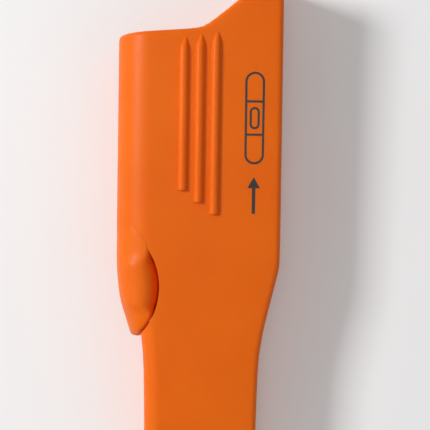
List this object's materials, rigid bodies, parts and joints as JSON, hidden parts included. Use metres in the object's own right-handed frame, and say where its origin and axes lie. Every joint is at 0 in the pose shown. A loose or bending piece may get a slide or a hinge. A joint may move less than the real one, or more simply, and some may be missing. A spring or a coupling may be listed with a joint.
{
  "type": "sight level",
  "caption": "Hand-held sight level: flat orange moulded body with sloped nose window, grip ribs, sprung belt clip, inner bubble vial, mirror and eyepiece.",
  "frame": {"origin": "middle of the flat back, on the surface that it lies on", "axes": "+X to the right of the front, +Y along the sight line towards the target, +Z out of the front face; the back lies at Z 0"},
  "size_m": [0.0522, 0.1599, 0.0317],
  "materials": {
    "orange_shell": "fine moulded texture",
    "clear_pane": "clear moulded",
    "vial_clear": "clear polished",
    "vial_liquid": "tinted liquid",
    "vial_bubble": "clear",
    "black_plastic": "fine matt",
    "screw_steel": "zinc plated",
    "hair_steel": "blackened wire",
    "mirror_glass": "silvered",
    "eyecup_rubber": "matt",
    "lens_clear": "polished"
  },
  "bodies": {
    "body": {"front_shell": "orange_shell", "rear_shell": "orange_shell", "objective_window": "clear_pane", "vial_window": "clear_pane", "vial_tube": "vial_clear", "vial_liquid": "vial_liquid", "vial_plug": "black_plastic", "vial_rings": "black_plastic", "vial_cradle": "black_plastic", "cradle_screws": "screw_steel", "mirror": "mirror_glass", "mirror_bracket": "black_plastic", "bracket_screw": "screw_steel", "reticle_frame": "black_plastic", "hairline": "hair_steel", "field_stop": "black_plastic", "eyecup": "eyecup_rubber", "eyepiece_lens": "lens_clear", "lens_retainer": "black_plastic", "body_screws": "screw_steel"},
    "clip": {"belt_clip": "orange_shell"},
    "bubble": {"vial_bubble": "vial_bubble"}
  },
  "joints": [
    {"name": "clip_flex", "type": "hinge", "parent": "body", "child": "clip", "pos_m": [-0.02495, 0.00078, 0.0145], "axis": [0, 0, -1], "range_deg": [0, 6], "stiffness_Nm_per_rad": 3},
    {"name": "bubble_run", "type": "slide", "parent": "body", "child": "bubble", "axis": [0, 1, 0], "range_m": [-0.0045, 0.0045]}
  ]
}
